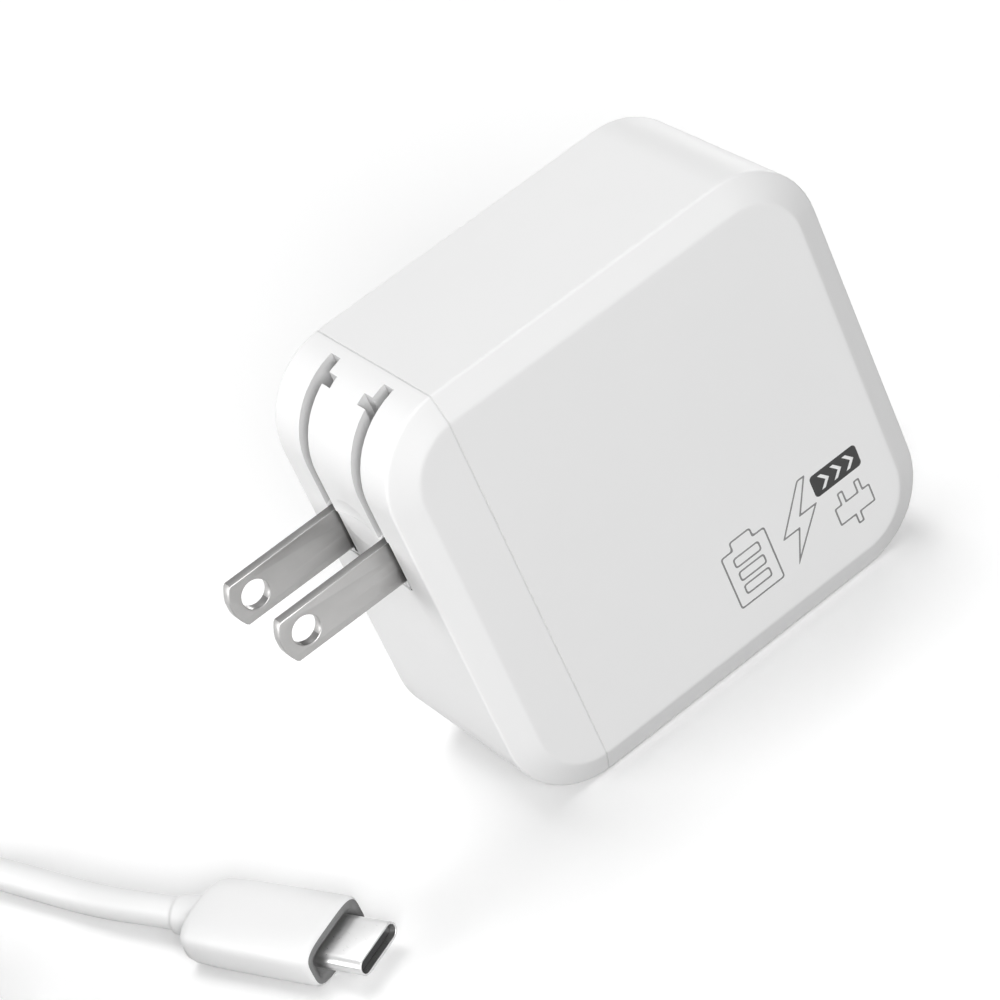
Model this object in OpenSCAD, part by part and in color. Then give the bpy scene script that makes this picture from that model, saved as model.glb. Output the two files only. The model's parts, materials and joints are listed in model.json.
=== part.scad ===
// Foldable-blade USB-C laptop power adapter with its charging lead.
// Millimetres, +Z up. The blades point to -X, the port faces +X, the panel with
// the printed marks faces -Y. The origin is the bottom centre of the adapter.

/* [Body] */
// Length of the body from blade end to port end
body_l = 67.5; // [64:0.5:80]
// Height of the body
body_h = 62; // [60:0.5:75]
// Thickness of the body across its two big faces
body_t = 30.8; // [29:0.1:36]
// Radius of the four big corners
corner_r = 11.5; // [9:0.5:14]
// Width of the bevel round each big face
bevel_in = 3.7; // [2:0.1:6]
// Depth of the bevel round each big face
bevel_deep = 1.8; // [0.8:0.1:2.4]
// Wall of the housing
wall = 1.8; // [1.4:0.1:2]
// Depth of the end cap, from the blade end to the seam
cap_deep = 11; // [10.8:0.1:12]
// Length of the lip that locates the cap in the shell
lip_l = 2; // [1:0.5:2.5]
// Thickness of that lip
lip_t = 0.9; // [0.6:0.1:1.2]
// Clearance between the lip and the shell
lip_gap = 0.1; // [0.05:0.05:0.2]

/* [Blades] */
// How far a blade stands out of the end face
blade_out = 18; // [16:0.1:18.2]
// Width of a blade
blade_w = 6.35; // [6.2:0.05:6.5]
// Thickness of a blade
blade_t = 1.52; // [1.4:0.02:1.6]
// Distance between the two blades' centres
blade_pitch = 12.7; // [12.6:0.05:12.8]
// Height of the blades' centre line
blade_z = 41; // [40:0.2:43]
// Diameter of the hole near a blade's tip
blade_hole_d = 4; // [3:0.1:4.2]
// Distance from the tip to the hole's centre
blade_hole_in = 4; // [3.6:0.1:6]
// Length of the slanted corners at the tip
tip_run = 1.2; // [0.6:0.1:1.8]
// Width of the slanted corners at the tip
tip_rise = 1.8; // [0.8:0.1:2.6]
// Width of the two slots that take the folded blades
slot_w = 2.3; // [2:0.1:2.6]
// Play between a folded blade and the back of its slot
slot_play = 0.32; // [0.2:0.02:0.4]
// Length of the finger notch beside each slot
notch_l = 1.5; // [1:0.1:2.4]
// Width of the finger notch beyond the slot's side
notch_w = 1.9; // [1:0.1:2.4]
// Depth of the finger notch below the top of the body
notch_deep = 7.5; // [5:0.1:8]
// Distance from the seam to the finger notch
notch_back = 3.7; // [3.2:0.1:5]

/* [Hinge] */
// Depth of the hinge axis behind the end face
pivot_in = 3.5; // [3.4:0.05:3.6]
// Height of the blades' centre line over the hinge axis
pivot_drop = 2.4; // [2.3:0.05:2.5]
// Radius of the carrier's barrel
barrel_r = 3; // [2.8:0.1:3]
// Radius of the blades' contact lobes
lobe_r = 3.2; // [3.1:0.05:3.25]
// Diameter of the carrier's journals
journal_d = 3; // [2.4:0.1:3.2]
// Length of each journal
journal_l = 2.4; // [1.8:0.1:2.6]
// Radial clearance of a journal in its bearing
journal_gap = 0.05; // [0.02:0.01:0.08]
// Radius of the carrier's round top about the hinge axis
carrier_r = 6.3; // [6.1:0.05:6.5]
// Gap round the carrier in its window
window_gap = 0.3; // [0.2:0.05:0.4]
// How far the carrier's face lies behind the end face
carrier_back = 0.3; // [0.2:0.05:0.5]
// Depth of the finger dimple above the carrier
dimple_deep = 0.45; // [0.2:0.05:0.7]
// Thickness of the contact strips and of the detent spring
leaf_t = 0.4; // [0.3:0.05:0.5]

/* [Port] */
// Height of the port's centre
port_z = 46; // [44:0.5:48]
// Width of the receptacle's shell
port_w = 8.94; // [8.8:0.02:9]
// Height of the receptacle's shell
port_h = 3.2; // [3.1:0.02:3.3]
// Length of the receptacle's shell
port_l = 8.4; // [7.6:0.1:9]
// Sheet thickness of the receptacle's shell
port_sheet = 0.3; // [0.2:0.02:0.32]
// Clearance between the receptacle and the housing
port_gap = 0.15; // [0.1:0.05:0.3]
// How far the receptacle's mouth lies behind the housing's face
port_back = 0.5; // [0.2:0.1:0.8]
// Width of the tongue in the receptacle
tongue_w = 6.69; // [6.5:0.05:6.8]
// Thickness of the tongue
tongue_t = 0.7; // [0.6:0.02:0.8]
// Length of the tongue in front of its base
tongue_l = 4.45; // [4.2:0.05:4.8]

/* [Electronics] */
// Thickness of the main circuit board
board_t = 1.6; // [1.2:0.1:1.6]
// Gap between the main board and the back wall
board_back = 2.2; // [2:0.1:2.6]
// Space between the main board's edges and the housing
board_edge = 1.2; // [1:0.1:2]
// Thickness of the output board
out_board_t = 1.2; // [1:0.1:1.4]
// Thickness of the metal heat spreaders
spreader_t = 0.8; // [0.5:0.1:0.9]
// Thickness of the insulating sheet
sheet_t = 0.3; // [0.2:0.05:0.4]
// Diameter of the input capacitors
bulk_d = 10; // [8:0.5:10.5]
// Space between the input capacitors and the insulating sheet
bulk_gap = 1.5; // [0.8:0.1:3]
// Diameter of the output capacitors
out_cap_d = 6.3; // [5:0.1:7]
// Height of the output capacitors
out_cap_h = 9; // [6:0.5:11]
// Length of the transformer's core
core_l = 20; // [18:0.5:21]
// Height of the transformer's core
core_h = 17; // [16:0.5:18]
// Turns of the transformer's outer winding
winding_loops = 5; // [4:1:5]
// Diameter of the choke's ring core
choke_d = 13; // [12:0.5:13.5]
// Turns on the choke
choke_loops = 10; // [6:1:11]

/* [Charging lead] */
// Diameter of the cord
cord_d = 4.5; // [4:0.1:4.6]
// Width of a plug's moulded grip
grip_w = 12.3; // [11.5:0.1:12.5]
// Thickness of a plug's moulded grip
grip_t = 6.6; // [6.2:0.1:7]
// Length of a plug's moulded grip
grip_l = 22; // [18:0.5:24]
// Length of the strain relief behind the grip
relief_l = 4; // [3:0.5:8]
// Width of a plug's metal shell
plug_w = 8.34; // [8.2:0.02:8.4]
// Height of a plug's metal shell
plug_h = 2.56; // [2.4:0.02:2.6]
// Length of a plug's metal shell
plug_l = 6.65; // [6.2:0.05:6.8]
// Sheet thickness of a plug's metal shell
plug_sheet = 0.3; // [0.2:0.02:0.4]
// Radius of the coil's innermost turn
coil_r = 15.5; // [15:0.1:18]
// Distance between neighbouring turns
coil_pitch = 5.1; // [5.1:0.1:5.4]

/* [Hidden] */
$fn = 64;
eps = 0.01;
far = 200;

// Places along the body
face_x = (blade_out - body_l) / 2;
port_x = face_x + body_l;
seam_x = face_x + cap_deep;
front_y = -body_t / 2;
back_y = body_t / 2;
front_in_y = front_y + wall;
back_in_y = back_y - wall;

// Hinge, window and slots
pivot_x = face_x + pivot_in;
pivot_z = blade_z - pivot_drop;
slot_back_x = pivot_x + pivot_drop + blade_w / 2 + slot_play;
slot_rib = 1.2;
carrier_half = blade_pitch / 2 + blade_t / 2;
slot_out = blade_pitch / 2 + slot_w / 2;
block_x0 = face_x + carrier_back - pivot_x;
block_lo = pivot_drop - blade_w / 2 - 0.9;
window_z0 = pivot_z - barrel_r - window_gap;
window_r = carrier_r + window_gap;
dimple_z = blade_z + 5;
dimple_r = 3.6;
dimple_half = blade_pitch / 2 - slot_w / 2 - 0.6;
notch_x0 = seam_x - notch_back - notch_l;
notch_z0 = body_h - notch_deep;
ear_r = 3.4;
ledge_z1 = window_z0 - 0.55;
ledge_t = 1.2;
ledge_half = 3.5;

// Contacts
leaf_x = pivot_x + lobe_r + 0.06;
leaf_w = 2;
leaf_top = pivot_z - 0.4;
holder_x0 = leaf_x - 1.4;
holder_z0 = pivot_z - 9.1;
holder_z1 = ledge_z1 - ledge_t - 0.2;
foot_z = [pivot_z - 14.6, pivot_z - 11.2];
foot_x1 = seam_x + lip_l + board_edge + 3.15;

// Main board and what stands on it
main_y1 = back_in_y - board_back;
main_y0 = main_y1 - board_t;
main_x0 = seam_x + lip_l + board_edge;
main_x1 = port_x - wall - board_edge;
main_z0 = wall + board_edge + 1.2;
main_z1 = body_h - wall - board_edge - 1.2;
main_r = 8;
mid_z = body_h / 2;
post_d = 4.4;
post_in = 6.3;
post_x = [main_x0 + 5.05, main_x1 - 6.75];
post_z = [main_z0 + post_in, main_z1 - post_in];
chip_h = 1;
pad_t = board_back - chip_h - spreader_t;
core_d = 14;
core_x0 = main_x0 + 27.05;
core_z0 = mid_z - 11.8;
core_leg = 2.7;
core_plate = 2.9;
mid_leg_r = 3.5;
bobbin_r = 4.6;
wire_d = 1;
choke_x = main_x0 + 8.15;
choke_z = mid_z - 16.4;
choke_h = 4.6;
choke_hole_d = 6.6;
choke_wire = 0.8;
choke_mid = (choke_d + choke_hole_d) / 4;
choke_a = ((choke_d - choke_hole_d) / 4 + 0.1) / 0.84 + choke_wire / 2;
choke_b = (choke_h / 2 + 0.1) / 0.84 + choke_wire / 2;
choke_y = main_y0 - choke_b - choke_wire / 2 - 0.1;

// Heat spreaders and insulating sheet on the flat insides of the big faces
flat_in = wall + bevel_in + 2;
spread_x0 = seam_x + lip_l + 3.75;
spread_x1 = port_x - flat_in - 0.75;
sheet_over = 1;
sheet_in_y = front_in_y + spreader_t + sheet_t;
rear_half = 15;
rear_x0 = main_x0 + 10.55;
bulk_l = main_y0 - sheet_in_y - bulk_gap;

// Output board
out_z1 = port_z - port_h / 2;
out_x1 = port_x - wall - 0.3;
out_x0 = out_x1 - 21.85;
out_y0 = sheet_in_y + 1.6;

// Charging lead: the plug in front of the adapter, the run along the floor, the
// bend, the coil and the second plug, which lies on the coil
plug_tip = [-52.5, -17.5, grip_t / 2];
plug_dir = [0.4, -0.9165, 0];
bend_at = [-94.96, 40.84];
bend_r = 18;
bend_a = [18.65, 91.27];
coil_at = [-129.8, 21.4];
coil_a0 = 90;
coil_half = 4.25;
coil_soft = 0.1;
coil_rings = 24;
tie_t = 0.4;
tie_w = 8;
layer_z = cord_d / 2 + tie_t + 0.05;
end_run = 5;
tail_rise_a = 60;
tail_bend_r = 18;
far_plug_in = 27;
far_plug_z = layer_z + coil_pitch + cord_d / 2 + 0.1 + grip_t / 2;

// ---------- helpers ----------

// A box between two opposite corners
module slab(a, b) {
    translate(a) cube(b - a);
}

// A flat shape on the XZ plane made thick along Y from y0 to y1
module along_y(y0, y1) {
    translate([0, y1, 0])
        rotate([90, 0, 0])
            linear_extrude(height = y1 - y0)
                children();
}

// A flat shape, drawn with x as Y and y as Z, made thick along X from x0 to x1
module along_x(x0, x1) {
    translate([x0, 0, 0])
        rotate([90, 0, 90])
            linear_extrude(height = x1 - x0)
                children();
}

// A rectangle with round corners, from its lower left corner
module round_rect(l, h, r) {
    translate([r, 0]) square([l - 2 * r, h]);
    translate([0, r]) square([l, h - 2 * r]);
    for (x = [r, l - r], y = [r, h - r])
        translate([x, y]) circle(r);
}

// A rectangle with round ends, centred
module stadium(w, h) {
    square([w - h, h], center = true);
    for (s = [-1, 1])
        translate([s * (w - h) / 2, 0]) circle(d = h);
}

// Half the housing's section across its thickness, out to a distance r
module edge_half(r, t) {
    polygon([[0, -t / 2], [r - bevel_in, -t / 2], [r, -t / 2 + bevel_deep],
        [r, t / 2 - bevel_deep], [r - bevel_in, t / 2], [0, t / 2]]);
}

// Both halves of that section for a block 2 * r across
module edge_full(r, t) {
    polygon([[-r, -t / 2 + bevel_deep], [-r + bevel_in, -t / 2],
        [r - bevel_in, -t / 2], [r, -t / 2 + bevel_deep],
        [r, t / 2 - bevel_deep], [r - bevel_in, t / 2],
        [-r + bevel_in, t / 2], [-r, t / 2 - bevel_deep]]);
}

// The housing's block with round corners and bevels, shrunk by s all round
module bevelled_block(s) {
    l = body_l - 2 * s;
    h = body_h - 2 * s;
    t = body_t - 2 * s;
    r = corner_r - s;
    translate([face_x + s, 0, s]) {
        translate([r, 0, h / 2])
            rotate([90, 0, 90])
                linear_extrude(height = l - 2 * r)
                    rotate(90) edge_full(h / 2, t);
        translate([l / 2, 0, r])
            linear_extrude(height = h - 2 * r)
                edge_full(l / 2, t);
        for (x = [r, l - r], z = [r, h - r])
            translate([x, 0, z])
                rotate([90, 0, 0])
                    rotate_extrude()
                        edge_half(r, t);
    }
}

// The part of its children between two places along the body
module between_x(x0, x1) {
    intersection() {
        children();
        slab([x0, -far, -far], [x1, far, far]);
    }
}

// A unit vector, and the direction of a path at its i-th point
function unit(v) = v / norm(v);
function heading(p, i) =
    unit(p[min(i + 1, len(p) - 1)] - p[max(i - 1, 0)]);

// A round tube swept along the path p; side[i] is a direction across it there
module tube(p, side, d, sides) {
    n = len(p);
    points = [for (i = [0:n - 1])
        let (t = heading(p, i), a = unit(cross(side[i], t)), b = cross(t, a))
        for (k = [0:sides - 1])
            p[i] + d / 2 * (cos(360 * (k + 0.5) / sides) * a
                + sin(360 * (k + 0.5) / sides) * b)];
    first = [for (k = [0:sides - 1]) k];
    last = [for (k = [sides - 1:-1:0]) (n - 1) * sides + k];
    skin = [for (i = [0:n - 2], k = [0:sides - 1])
        let (m = (k + 1) % sides, j = i * sides, q = (i + 1) * sides)
        each [[j + k, q + k, q + m], [j + k, q + m, j + m]]];
    polyhedron(points, concat([first], skin, [last]), convexity = 10);
}

// The least gap of a tube to itself between points at least skip rings apart
function least_gap(p, d, skip) =
    min([for (i = [0:len(p) - 1], j = [i + skip:1:len(p) - 1])
        norm(p[i] - p[j])]) - d;

// ---------- housing ----------

// Shell with the port's mouth, and posts for the main board
module main_shell() {
    color("WhiteSmoke") {
        difference() {
            between_x(seam_x, far) bevelled_block(0);
            bevelled_block(wall);
            along_x(port_x - wall - 1, port_x + 1)
                translate([0, port_z])
                    stadium(port_w + 2 * port_gap, port_h + 2 * port_gap);
        }
        for (x = post_x, z = post_z)
            translate([x, main_y1, z])
                rotate([-90, 0, 0])
                    cylinder(d = post_d, h = board_back + 0.5);
    }
}

// Channel that one folded blade lies in, with its finger notch, as a solid
module blade_slot(s, grow) {
    y0 = s * blade_pitch / 2 - slot_w / 2 - grow;
    y1 = s * blade_pitch / 2 + slot_w / 2 + grow;
    n0 = s > 0 ? y0 - notch_w : y1 - grow;
    n1 = s > 0 ? y0 + grow : y1 + notch_w;
    slab([face_x - 1, y0, pivot_z + 2], [slot_back_x + grow, y1, body_h + 1]);
    slab([notch_x0 - grow, n0, notch_z0 - grow],
        [notch_x0 + notch_l + grow, n1, body_h + 1]);
}

// Cap with the window of the carrier, the slots and the carrier's bearings
module end_cap() {
    color("White")
    difference() {
        union() {
            difference() {
                between_x(-far, seam_x) bevelled_block(0);
                bevelled_block(wall);
            }
            between_x(seam_x - 2, seam_x)
                difference() {
                    bevelled_block(wall / 2);
                    bevelled_block(wall + lip_gap + lip_t);
                }
            between_x(seam_x - eps, seam_x + lip_l)
                difference() {
                    bevelled_block(wall + lip_gap);
                    bevelled_block(wall + lip_gap + lip_t);
                }
            intersection() {
                bevelled_block(wall / 2);
                union() {
                    for (s = [-1, 1]) blade_slot(s, slot_rib);
                }
                slab([-far, -far, pivot_z + 2], [far, far, far]);
            }
            for (s = [-1, 1])
                slab([face_x + wall / 2, s > 0 ? slot_out : 1 - back_y, pivot_z - ear_r],
                    [pivot_x + ear_r, s > 0 ? back_y - 1 : -slot_out, pivot_z + ear_r]);
            slab([face_x + wall / 2, -ledge_half, ledge_z1 - ledge_t],
                [leaf_x - 0.5, ledge_half, ledge_z1]);
        }
        for (s = [-1, 1]) blade_slot(s, 0);
        slab([face_x - 1, -slot_out, pivot_z + block_lo - window_gap],
            [slot_back_x + slot_rib + 1, slot_out, pivot_z + 2]);
        along_y(-slot_out, slot_out)
            translate([pivot_x, pivot_z]) circle(r = lobe_r + window_gap);
        intersection() {
            along_y(-slot_out, slot_out)
                translate([pivot_x, pivot_z]) circle(r = window_r);
            slab([-far, -far, pivot_z], [far, far, far]);
        }
        along_y(-dimple_half, dimple_half)
            translate([face_x + dimple_deep - dimple_r, dimple_z]) circle(r = dimple_r);
        translate([pivot_x, 0, pivot_z])
            rotate([90, 0, 0])
                cylinder(d = journal_d + 2 * journal_gap,
                    h = 2 * (carrier_half + journal_l + 0.2), center = true);
    }
}

// ---------- blades and hinge ----------

// One blade with its lobe, standing at y
module blade(y) {
    tip = face_x - blade_out;
    along_y(y - blade_t / 2, y + blade_t / 2)
        difference() {
            union() {
                polygon([[tip, pivot_z + pivot_drop - blade_w / 2 + tip_rise],
                    [tip + tip_run, pivot_z + pivot_drop - blade_w / 2],
                    [pivot_x, pivot_z + pivot_drop - blade_w / 2],
                    [pivot_x, pivot_z + pivot_drop + blade_w / 2],
                    [tip + tip_run, pivot_z + pivot_drop + blade_w / 2],
                    [tip, pivot_z + pivot_drop + blade_w / 2 - tip_rise]]);
                translate([pivot_x, pivot_z]) circle(r = lobe_r);
            }
            translate([tip + blade_hole_in, blade_z]) circle(d = blade_hole_d);
            translate([pivot_x, pivot_z]) circle(d = journal_d);
        }
}

module blade_front() {
    color("Silver") blade(-blade_pitch / 2);
}

module blade_rear() {
    color("Silver") blade(blade_pitch / 2);
}

// Moulded carrier round both blades, which turns on two journals through their lobes
module blade_carrier() {
    color("Gainsboro")
    difference() {
        union() {
            intersection() {
                translate([pivot_x, 0, pivot_z])
                    rotate([90, 0, 0])
                        cylinder(r = carrier_r, h = 2 * carrier_half, center = true);
                slab([pivot_x + block_x0, -carrier_half, pivot_z + block_lo],
                    [pivot_x, carrier_half, pivot_z + far]);
            }
            translate([pivot_x, 0, pivot_z])
                rotate([90, 0, 0]) {
                    cylinder(r = barrel_r, h = 2 * carrier_half, center = true);
                    cylinder(d = journal_d,
                        h = 2 * (carrier_half + journal_l), center = true);
                }
        }
        for (s = [-1, 1]) blade(s * blade_pitch / 2);
    }
}

// Sprung strip that presses on a blade's lobe, with its tail to the main board
module contact(y, foot) {
    y0 = y - leaf_w / 2;
    slab([leaf_x, y0, foot], [leaf_x + leaf_t, y0 + leaf_w, leaf_top]);
    slab([leaf_x, y0, foot], [foot_x1, y0 + leaf_w, foot + leaf_t]);
    slab([foot_x1 - leaf_w, y0, foot], [foot_x1, main_y0, foot + leaf_t]);
}

module contact_front() {
    color("Goldenrod") contact(-blade_pitch / 2, foot_z[0]);
}

module contact_rear() {
    color("Goldenrod") contact(blade_pitch / 2, foot_z[1]);
}

// Plastic block on the main board that holds both contact strips
module contact_holder() {
    color("Ivory")
    difference() {
        slab([holder_x0, -carrier_half - 1.9, holder_z0], [foot_x1, main_y0, holder_z1]);
        contact(-blade_pitch / 2, foot_z[0]);
        contact(blade_pitch / 2, foot_z[1]);
    }
}

// Bent leaf on the cap's ledge that keeps the carrier in its two places
module detent_spring() {
    color("LightSteelBlue")
    along_y(-ledge_half + 0.5, ledge_half - 0.5)
        translate([pivot_x, ledge_z1])
            polygon([[-1.6, 0], [-1.1, 0], [-0.4, 0.25], [0.6, 0.25], [1.4, 0],
                [2.6, 0], [2.6, 0.3], [1.5, 0.3], [0.6, 0.55], [-0.4, 0.55],
                [-1.2, 0.3], [-1.6, 0.3]]);
}

// ---------- electronics ----------

module main_board() {
    color("SeaGreen")
    along_y(main_y0, main_y1)
        translate([main_x0, main_z0])
            round_rect(main_x1 - main_x0, main_z1 - main_z0, main_r);
}

module output_board() {
    color("SeaGreen")
    slab([out_x0, out_y0, out_z1 - out_board_t], [out_x1, main_y0, out_z1]);
}

module fuse() {
    color("Black")
    slab([main_x0 + 2.55, main_y0 - 8, mid_z + 5], [main_x0 + 11.05, main_y0, mid_z + 9]);
}

// Ring core of the choke, lying on the main board
module choke_core() {
    color("DarkOliveGreen")
    translate([choke_x, choke_y - choke_h / 2, choke_z])
        rotate([-90, 0, 0])
            difference() {
                cylinder(d = choke_d, h = choke_h);
                translate([0, 0, -1]) cylinder(d = choke_hole_d, h = choke_h + 2);
            }
}

// One point of the choke's wire: t counts turns round the core's section
function rounded(c) = sign(c) * sqrt(abs(c));
function choke_turn(t) = 320 * t / choke_loops;
function choke_point(t) =
    let (r = choke_mid + choke_a * rounded(cos(360 * t)))
    [choke_x + r * cos(choke_turn(t)),
        choke_y + choke_b * rounded(sin(360 * t)),
        choke_z + r * sin(choke_turn(t))];
choke_path = [for (i = [0:14 * choke_loops]) choke_point(i / 14)];
choke_side = [for (i = [0:14 * choke_loops])
    [-sin(choke_turn(i / 14)), 0, cos(choke_turn(i / 14))]];
echo(choke_gap = least_gap(choke_path, choke_wire, 7));

// Wire wound round the ring core in one unbroken length
module choke_winding() {
    color("Peru")
    tube(choke_path, choke_side, choke_wire, 6);
}

module noise_capacitor() {
    color("Gold")
    slab([main_x0 + 2.55, main_y0 - 12, mid_z + 12], [main_x0 + 15.55, main_y0, mid_z + 18]);
}

module bridge_rectifier() {
    color("DimGray")
    slab([main_x0 + 5.05, main_y0 - 3, mid_z - 7], [main_x0 + 15.05, main_y0, mid_z + 1]);
}

// Cans that stand on the main board, each with a groove near its foot
module bulk_capacitors() {
    color("MidnightBlue")
    for (p = [[21.55, -19.5], [21.55, -8.5], [32.55, -19.5]])
        translate([main_x0 + p[0], main_y0, mid_z + p[1]])
            rotate([90, 0, 0])
                difference() {
                    cylinder(d = bulk_d, h = bulk_l);
                    translate([0, 0, 1.6])
                        difference() {
                            cylinder(d = bulk_d + 2, h = 0.8);
                            translate([0, 0, -1])
                                cylinder(d = bulk_d - 0.8, h = 3);
                        }
                }
}

// Ferrite frame with a round middle leg
core_at = [core_x0 + core_l / 2, main_y0 - core_d / 2, core_z0 + core_h / 2];
bobbin_h = core_h - 2 * core_plate;

module transformer_core() {
    color("DarkSlateGray")
    union() {
        difference() {
            slab([core_x0, main_y0 - core_d, core_z0],
                [core_x0 + core_l, main_y0, core_z0 + core_h]);
            slab([core_x0 + core_leg, main_y0 - core_d - 1, core_z0 + core_plate],
                [core_x0 + core_l - core_leg, main_y0 + 1,
                    core_z0 + core_h - core_plate]);
        }
        translate([core_at[0], core_at[1], core_z0 + 1])
            cylinder(r = mid_leg_r, h = core_h - 2);
    }
}

// Bobbin on the middle leg, with a flange at each end
module transformer_bobbin() {
    color("Khaki")
    translate([core_at[0], core_at[1], core_z0 + core_plate])
        difference() {
            union() {
                cylinder(r = bobbin_r, h = bobbin_h);
                cylinder(r = bobbin_r + 2.1, h = 0.7);
                translate([0, 0, bobbin_h - 0.7])
                    cylinder(r = bobbin_r + 2.1, h = 0.7);
            }
            translate([0, 0, -1]) cylinder(r = mid_leg_r, h = bobbin_h + 2);
        }
}

winding_r = bobbin_r + wire_d / 2 + 0.05;
winding_step = (bobbin_h - 1.4 - wire_d - 0.4) / winding_loops;
winding_path = [for (i = [0:20 * winding_loops])
    [core_at[0] + winding_r * cos(18 * i), core_at[1] + winding_r * sin(18 * i),
        core_z0 + core_plate + 0.9 + wire_d / 2 + winding_step * i / 20]];
echo(winding_gap = least_gap(winding_path, wire_d, 10));

// Outer winding of the transformer in one unbroken length
module transformer_winding() {
    color("Peru")
    tube(winding_path, [for (p = winding_path) [0, 0, 1]], wire_d, 6);
}

module power_chip() {
    color("DimGray")
    slab([main_x0 + 15.55, main_y1, mid_z - 1], [main_x0 + 23.55, main_y1 + chip_h, mid_z + 7]);
}

module thermal_pad() {
    color("LightBlue")
    slab([main_x0 + 14.55, main_y1 + chip_h, mid_z - 2],
        [main_x0 + 24.55, main_y1 + chip_h + pad_t, mid_z + 8]);
}

module rear_heat_spreader() {
    color("Silver")
    slab([rear_x0, back_in_y - spreader_t, mid_z - rear_half],
        [rear_x0 + 2 * rear_half, back_in_y, mid_z + rear_half]);
}

module front_heat_spreader() {
    color("Silver")
    slab([spread_x0, front_in_y, flat_in],
        [spread_x1, front_in_y + spreader_t, body_h - flat_in]);
}

module insulating_sheet() {
    color("Khaki")
    slab([spread_x0 - sheet_over, front_in_y + spreader_t, flat_in - sheet_over],
        [spread_x1 + sheet_over, sheet_in_y, body_h - flat_in + sheet_over]);
}

// Disc capacitor across the transformer
module safety_capacitor() {
    color("SteelBlue")
    translate([main_x0 + 19.55, main_y0 - 3.5, mid_z + 11])
        rotate([0, 90, 0])
            cylinder(d = 7, h = 3.5);
}

module output_capacitors() {
    color("Silver")
    for (y = [-5, 3.2])
        translate([out_x1 - 15.65, y, out_z1])
            cylinder(d = out_cap_d, h = out_cap_h);
}

// Metal shell of the USB-C receptacle, open at both ends
module receptacle_shell() {
    color("Silver")
    along_x(port_x - port_back - port_l, port_x - port_back)
        translate([0, port_z])
            difference() {
                stadium(port_w, port_h);
                stadium(port_w - 2 * port_sheet, port_h - 2 * port_sheet);
            }
}

// Plastic core of the receptacle with its tongue
module receptacle_tongue() {
    x0 = port_x - port_back - port_l;
    x1 = port_x - port_back - 0.6 - tongue_l;
    color("DimGray") {
        along_x(x0, x1)
            translate([0, port_z])
                stadium(port_w - 2 * port_sheet, port_h - 2 * port_sheet);
        slab([x1 - eps, -tongue_w / 2, port_z - tongue_t / 2],
            [x1 + tongue_l, tongue_w / 2, port_z + tongue_t / 2]);
    }
}

// ---------- charging lead ----------

// A plug's children, drawn with the tip at the origin and pointing to +X
module plug_place(tip, dir) {
    translate(tip)
        rotate([0, 0, atan2(dir[1], dir[0])])
            children();
}

module plug_shell() {
    along_x(-plug_l, 0)
        difference() {
            stadium(plug_w, plug_h);
            stadium(plug_w - 2 * plug_sheet, plug_h - 2 * plug_sheet);
        }
}

// Moulded grip with a stepped nose and a strain relief
module plug_grip() {
    nose = 0.8;
    along_x(-plug_l - nose, -plug_l)
        stadium(grip_w - 1.6, grip_t - 1.6);
    along_x(-plug_l - grip_l + nose, -plug_l - nose)
        stadium(grip_w, grip_t);
    along_x(-plug_l - grip_l, -plug_l - grip_l + nose)
        stadium(grip_w - 1.6, grip_t - 1.6);
    translate([-plug_l - grip_l - relief_l, 0, 0])
        rotate([0, 90, 0])
            cylinder(d = cord_d + 1, h = relief_l);
}

// The coil's turns: s counts turns from the middle of the cord, where the inner
// turn climbs from the lower layer to the upper one
function climb(s) = let (u = max(0, min(1, 2 * s + 0.5))) u * u * (3 - 2 * u);
function coil_radius(s) =
    coil_r + coil_pitch * (sqrt(s * s + coil_soft * coil_soft) - coil_soft);
function coil_point(s) =
    let (a = coil_a0 + 360 * (s + coil_half), r = coil_radius(s))
    [coil_at[0] + r * cos(a), coil_at[1] + r * sin(a),
        layer_z + coil_pitch * climb(s)];
coil_turns = [for (i = [0:2 * coil_half * coil_rings])
    coil_point(i / coil_rings - coil_half)];
function coil_dir(s) =
    let (a = coil_a0 + 360 * (s + coil_half), r = coil_radius(s), dr = sign(s) * coil_pitch)
    unit([dr * cos(a) - 2 * PI * r * sin(a), dr * sin(a) + 2 * PI * r * cos(a), 0]);
coil_dir_in = coil_dir(-coil_half);
coil_dir_out = coil_dir(coil_half);
coil_in = coil_turns[0] - end_run * coil_dir_in;
coil_out = coil_turns[len(coil_turns) - 1] + end_run * coil_dir_out;
coil_path = concat([coil_in], coil_turns, [coil_out]);
echo(coil_gap = least_gap(coil_path, cord_d, 12));

// Route along the floor from the near plug to the coil
plug_end = plug_tip - (plug_l + grip_l + relief_l) * unit(plug_dir);
run_points = [[-69.2, 21, 2.9], [-70.7, 25, 2.6], [-72.1, 29, 2.4],
    [-73.4, 33, 2.3], [-74.7, 37, 2.25], [-76, 41, 2.25]];
bend_path = [for (i = [0:6])
    let (a = bend_a[0] + (bend_a[1] - bend_a[0]) * i / 6)
    [bend_at[0] + bend_r * cos(a), bend_at[1] + bend_r * sin(a), cord_d / 2 + 0.05 * i]];
run_path = concat([plug_end, plug_end - end_run * unit(plug_dir)], run_points,
    bend_path, [coil_in - 2 * end_run * coil_dir_in, coil_in - end_run * coil_dir_in, coil_in]);

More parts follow.
